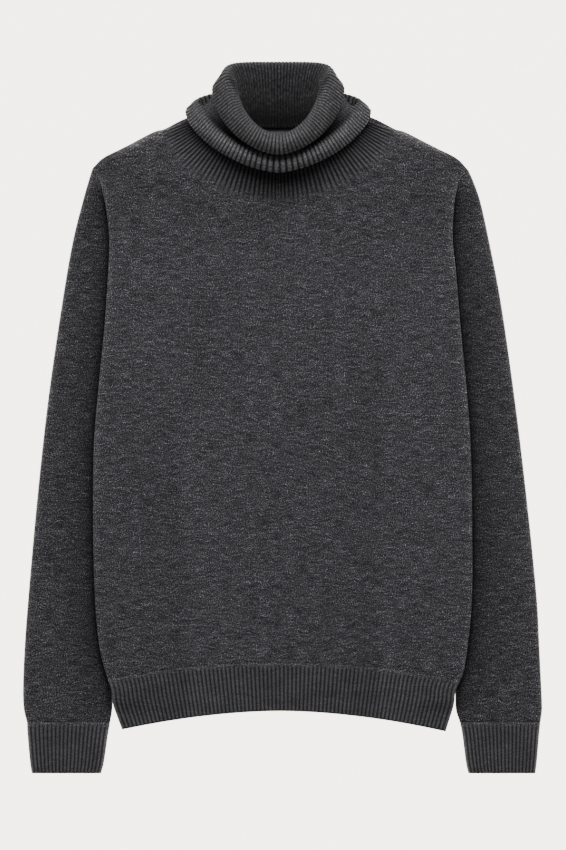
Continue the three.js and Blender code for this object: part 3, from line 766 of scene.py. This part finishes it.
class SWEATER_OT_back(bpy.types.Operator):
    """Knit the back, which lies on the surface and on the sleeves"""

    bl_idname = "sweater.knit_back"
    bl_label = "Knit the Back"

    def execute(self, context):
        sizes = context.scene.sweater_sizes
        bm = bmesh.new()
        verts, u, v = grid(bm, np.linspace(0, 1, 101), np.linspace(0, 1, 131))

        def upper(share):
            tip = BODY_EDGE[0]
            x = lerp(tip["left"] + 0.3, tip["right"] - 0.3, share)
            reach = np.abs(x - MIDDLE)
            dip = np.minimum(reach / NECK_BACK["half"], 1) ** NECK_BACK["power"]
            neck = lerp(NECK_BACK["dip"], NECK_BACK["side"], dip)
            return x, np.where(reach < NECK_BACK["half"], neck, shoulder_y(reach) - 0.3)

        x, y = body_patch(u, v, arched_across(HEM_TOP), upper, u)
        points = np.stack([x, y, back_low(x, y)], axis=2)
        place_grid(bm, verts, points, (x, y), np.zeros_like(x))
        piece = finish_shell("body_back", bm, faces_down, plain_wool(), sizes.wall)
        cloth_piece(piece, ["back_panel"])
        return {"FINISHED"}


class SWEATER_OT_hem(bpy.types.Operator):
    """Knit the two halves of the hem rib"""

    bl_idname = "sweater.knit_hem"
    bl_label = "Knit the Hem Rib"

    def execute(self, context):
        sizes = context.scene.sweater_sizes
        per_rib = 6
        for name, node, height, outward in (
            ("hem_rib_front", "hem_front", front_top, faces_up),
            ("hem_rib_back", "hem_back", back_low, faces_down),
        ):
            bm = bmesh.new()
            verts, u, v = grid(bm, np.linspace(0, 1, sizes.hem_ribs * per_rib + 1), np.linspace(0, 1, 21))
            x, y = body_patch(u, v, arched_across(HEM_BOTTOM), arched_across(HEM_TOP), u)
            points = np.stack([x, y, height(x, y)], axis=2)
            ribbed = 1 - smooth(v, 0.9, 1)
            groove_shade = np.zeros_like(x)
            if outward is faces_up:
                rise = ribbed * sizes.rib_height * METRE * (rib_profile(u * sizes.hem_ribs) - 0.2)
                points += normals_of(points, False) * rise[..., None]
                groove_shade = ribbed * rib_groove_shade(u * sizes.hem_ribs, SOFT_GROOVE_SHADE)
            # The rib wool scaled towards the plain knit's colour, with painted fold shade and a painted highlight at
            # the sides.
            tone = lerp(PLAIN_TO_RIB, 0.8, ribbed) + painted_fold_shade(x, y) + painted_edge_highlight(side_distance(x, y))
            place_grid(bm, verts, points, (u * 340, y), groove_shade, tone, lerp(1, RIB_NAP, ribbed))
            piece = finish_shell(name, bm, outward, rib_wool(), sizes.wall)
            cloth_piece(piece, [node])
        return {"FINISHED"}


def flat_tube(rows_table, side, heights, top, bottom):
    """Places on a flattened tube, closed round, with the share of the way across its upper layer."""
    first = curve_of(rows_table, "y", "left_outer" if side == "left" else "right_inner")
    second = curve_of(rows_table, "y", "left_inner" if side == "left" else "right_outer")
    slant = curve_of(rows_table, "y", "slant")
    share = np.concatenate([np.linspace(0, 1, top + 1), np.linspace(1, 0, bottom + 1)[1:]])
    upper = np.concatenate([np.ones(top + 1), np.zeros(bottom)])
    q, y = np.meshgrid(share, heights)
    layer = np.meshgrid(upper, heights)[0]
    x = lerp(first(y), second(y), q)
    width = second(y) - first(y)
    lower = 1 - q if side == "right" else q
    place_y = y - slant(y) * lower
    distance = np.minimum(q, 1 - q) * width
    round_top = np.sqrt(1 - (1 - np.minimum(distance / EDGE_ROUND, 1)) ** 2)
    round_low = np.sqrt(1 - (1 - np.minimum(distance / (SLEEVE_HEIGHT / 2), 1)) ** 2)
    half = SLEEVE_HEIGHT / 2
    z = np.where(layer > 0, half + half * round_top, half - half * round_low)
    return np.stack([x, place_y, z], axis=2), q, layer


class SWEATER_OT_sleeves(bpy.types.Operator):
    """Knit the two sleeves, each a flattened tube"""

    bl_idname = "sweater.knit_sleeves"
    bl_label = "Knit the Sleeves"

    def execute(self, context):
        sizes = context.scene.sweater_sizes
        for side in ("left", "right"):
            bm = bmesh.new()
            heights = np.linspace(-318.7, 261, 161)
            points, q, layer = flat_tube(SLEEVE_EDGE, side, heights, 100, 40)
            verts, u, v = grid(bm, np.linspace(0, 1, points.shape[1]), heights)
            edge = np.minimum(q, 1 - q)
            points[..., 2] -= layer * fold_depth(SLEEVE_FOLDS, points[..., 0], points[..., 1]) * smooth(edge, 0, 0.2)
            # Painted shade in the crease beside the body and a painted highlight at the outer edge.
            tone = sleeve_painted_shade(points[..., 0], points[..., 1])
            place_grid(bm, verts, points, (points[..., 0], points[..., 1]), np.zeros_like(q), tone)
            piece = finish_shell(f"sleeve_tube_{side}", bm, faces_out, plain_wool(), sizes.wall)
            cloth_piece(piece, [f"sleeve_{side}"])
        return {"FINISHED"}


class SWEATER_OT_cuffs(bpy.types.Operator):
    """Knit the two rib cuffs"""

    bl_idname = "sweater.knit_cuffs"
    bl_label = "Knit the Cuffs"

    def execute(self, context):
        sizes = context.scene.sweater_sizes
        per_rib = 6
        for side in ("left", "right"):
            bm = bmesh.new()
            heights = np.linspace(-372.2, -318.7, 19)
            points, q, layer = flat_tube(CUFF_EDGE, side, heights, sizes.cuff_ribs * per_rib, 30)
            verts, u, v = grid(bm, np.linspace(0, 1, points.shape[1]), heights)
            phase = q * sizes.cuff_ribs
            ribbed = layer * (1 - smooth(v, *CUFF_START))
            points[..., 2] += ribbed * sizes.rib_height * METRE * (rib_profile(phase) - 0.2)
            # The rib wool scaled towards the plain knit's colour, with a painted highlight at the edges.
            tone = lerp(PLAIN_TO_RIB, 0.82, ribbed) + painted_edge_highlight(np.minimum(q, 1 - q) * 80)
            groove_shade = ribbed * rib_groove_shade(phase, SOFT_GROOVE_SHADE)
            place_grid(bm, verts, points, (q * 82, points[..., 1]), groove_shade, tone, lerp(1, RIB_NAP, ribbed))
            piece = finish_shell(f"cuff_rib_{side}", bm, faces_out, rib_wool(), sizes.wall)
            cloth_piece(piece, [f"cuff_{side}"])
        return {"FINISHED"}


def collar_points(ring, turn):
    """Places on a ring of the collar. Turn 0 is its right side, and a quarter is behind the neck."""
    angle = 2 * np.pi * turn
    in_front = np.sin(angle) < 0
    power = np.where(in_front, ring["front_power"], ring["back_power"])
    size = (np.abs(np.cos(angle)) ** power + np.abs(np.sin(angle)) ** power) ** (1 / power)
    share = np.abs(np.sin(angle)) / size
    x = COLLAR_MIDDLE + ring["half"] * np.cos(angle) / size
    y = lerp(ring["side"], np.where(in_front, ring["front"], ring["back"]), share)
    z = lerp(ring["z_side"], np.where(in_front, ring["z_front"], ring["z_back"]), share * share)
    return np.stack([x, y, z], axis=-1)


def rib_turns(count):
    """Turns at which the ribs' columns stand, closest together at the sides of the neck."""
    fine = np.linspace(0, 1, 4001)
    places = collar_points(COLLAR_RINGS[CREST_RING], fine)
    lengths = np.linalg.norm(np.diff(places, axis=0), axis=1)
    middle = (fine[1:] + fine[:-1]) / 2
    front = np.exp(-(((middle - 0.75) / 0.09) ** 2))
    pitch = 3.6 + 0.9 * front + 0.5 * np.exp(-(((middle - 0.25) / 0.15) ** 2))
    total = np.concatenate([[0], np.cumsum(lengths / pitch)])
    return np.interp(np.linspace(0, 1, count + 1), total / total[-1], fine)


class SWEATER_OT_collar(bpy.types.Operator):
    """Knit the collar, one rib tube folded into a lower and an upper roll"""

    bl_idname = "sweater.knit_collar"
    bl_label = "Knit the Roll Collar"

    def execute(self, context):
        sizes = context.scene.sweater_sizes
        per_rib = 6
        columns = sizes.collar_ribs * per_rib
        turns = rib_turns(columns)
        for index, ring in enumerate(COLLAR_RINGS):
            ring["index"] = index
        rows = np.linspace(0, len(COLLAR_RINGS) - 1, 66)
        names = [name for name in COLLAR_RINGS[0] if name != "index"]
        curves = {name: curve_of(COLLAR_RINGS, "index", name) for name in names}
        points = np.stack([collar_points({name: curves[name](row) for name in names}, turns) for row in rows])
        bm = bmesh.new()
        verts, u, v = grid(bm, turns, rows)
        normal = normals_of(points, True)
        phase = np.linspace(0, sizes.collar_ribs, columns + 1)[None, :]
        swing = np.clip((OUTSIDE_RINGS - v) / 0.8, -1, 1)
        rise = sizes.rib_height * METRE * (rib_profile(phase) - 0.3) * swing
        points += normal * rise[..., None]
        points[..., 2] = np.maximum(points[..., 2], sizes.wall * METRE * 0.6)
        # Painted highlights on the crests of the rolls and painted shade between and inside them.
        tone = collar_painted_shade(v, u, points[..., 1])
        groove_shade = rib_groove_shade(phase, DEEP_GROOVE_SHADE) * np.abs(swing)
        place_grid(bm, verts, points, (u * 310, v * 8), groove_shade, tone, RIB_NAP)
        piece = finish_shell("collar_rib", bm, faces_out, rib_wool(), sizes.wall)
        piece.modifiers["Cloth wall"].offset = 0
        cloth_piece(piece, ["roll_collar"])
        return {"FINISHED"}


class SWEATER_OT_tape(bpy.types.Operator):
    """Sew the woven tape into the back of the neck, where it shows through the collar"""

    bl_idname = "sweater.sew_tape"
    bl_label = "Sew the Neck Tape"

    def execute(self, context):
        bm = bmesh.new()
        verts, u, v = grid(bm, np.linspace(0, 1, 60), np.linspace(0, 1, 14))
        x = COLLAR_MIDDLE + NECK_TAPE["half"] * (2 * u - 1)
        y = lerp(NECK_TAPE["low"], NECK_TAPE["high"], v)
        edge = np.minimum(v, 1 - v) * (NECK_TAPE["high"] - NECK_TAPE["low"])
        selvedge = 1 - smooth(edge, 0.2, 1)
        z = NECK_TAPE["top"] - 0.3 * selvedge
        place_grid(bm, verts, np.stack([x, y, z], axis=2), (x, y), 0, 1 + 0.35 * selvedge)
        piece = finish_shell("neck_tape_woven", bm, faces_up, tape_cotton(), 0.0008)
        cloth_piece(piece, ["neck_tape"])
        return {"FINISHED"}


class SWEATER_OT_stage(bpy.types.Operator):
    """Set the floor, the lights and the camera straight above"""

    bl_idname = "sweater.set_stage"
    bl_label = "Set the Stage"

    def execute(self, context):
        bm = bmesh.new()
        bmesh.ops.create_grid(bm, x_segments=1, y_segments=1, size=6)
        mesh = bpy.data.meshes.new("studio_floor")
        bm.to_mesh(mesh)
        bm.free()
        material = bpy.data.materials.new("matt_paper_floor")
        material.use_nodes = True
        shader = material.node_tree.nodes["Principled BSDF"]
        shader.inputs["Base Color"].default_value = linear("#606060")
        shader.inputs["Roughness"].default_value = 1
        shader.inputs["Emission Color"].default_value = (*context.scene.sweater_colours.floor, 1)
        shader.inputs["Emission Strength"].default_value = 6.0
        mesh.materials.append(material)
        floor = bpy.data.objects.new("studio_floor", mesh)
        mesh.transform(floor.matrix_world.Translation(Vector((0, 0, -0.0005))))
        context.collection.objects.link(floor)

        world = bpy.data.worlds.new("studio")
        world.use_nodes = True
        world.node_tree.nodes["Background"].inputs[0].default_value = (1, 1, 1, 1)
        world.node_tree.nodes["Background"].inputs[1].default_value = 0.18
        context.scene.world = world

        for name, place, width, height, power in (
            ("softbox_top", (0, 2.6, 1.9), 3.0, 1.2, 120),
            ("softbox_left", (-2.4, -0.6, 2.2), 1.6, 1.6, 14),
            ("softbox_right", (2.4, -0.6, 2.2), 1.6, 1.6, 14),
        ):
            lamp = bpy.data.lights.new(name, "AREA")
            lamp.shape = "RECTANGLE"
            lamp.size = width
            lamp.size_y = height
            lamp.energy = power
            made = bpy.data.objects.new(name, lamp)
            made.location = place
            made.rotation_euler = (-Vector(place)).to_track_quat("-Z", "Y").to_euler()
            context.collection.objects.link(made)

        lens = bpy.data.cameras.new("camera")
        distance = 6.0
        view_height = 0.8925  # what the picture's 850 rows cover
        lens.sensor_width = 36
        lens.lens = 36 * distance / view_height
        lens.clip_end = 100
        camera = bpy.data.objects.new("camera", lens)
        camera.location = (0.0005, -0.0068, distance)
        context.collection.objects.link(camera)
        context.scene.camera = camera
        return {"FINISHED"}


class SWEATER_PT_panel(bpy.types.Panel):
    """Sizes and pieces of the sweater"""

    bl_label = "Sweater"
    bl_idname = "SWEATER_PT_panel"
    bl_space_type = "VIEW_3D"
    bl_region_type = "UI"
    bl_category = "Sweater"

    def draw(self, context):
        scene = context.scene
        for group, settings in ((SweaterSizes, scene.sweater_sizes), (SweaterColours, scene.sweater_colours)):
            for name in group.__annotations__:
                self.layout.prop(settings, name)
        for operator in OPERATORS:
            self.layout.operator(operator.bl_idname)


OPERATORS = (
    SWEATER_OT_sleeves,
    SWEATER_OT_cuffs,
    SWEATER_OT_back,
    SWEATER_OT_front,
    SWEATER_OT_hem,
    SWEATER_OT_collar,
    SWEATER_OT_tape,
    SWEATER_OT_stage,
)
CLASSES = (SweaterSizes, SweaterColours, *OPERATORS, SWEATER_PT_panel)


def register():
    for cls in CLASSES:
        bpy.utils.register_class(cls)
    bpy.types.Scene.sweater_sizes = PointerProperty(type=SweaterSizes)
    bpy.types.Scene.sweater_colours = PointerProperty(type=SweaterColours)


def unregister():
    del bpy.types.Scene.sweater_colours
    del bpy.types.Scene.sweater_sizes
    for cls in reversed(CLASSES):
        bpy.utils.unregister_class(cls)


def main():
    register()
    for operator in OPERATORS:
        getattr(bpy.ops.sweater, operator.bl_idname.split(".")[1])()


if __name__ == "__main__":
    main()
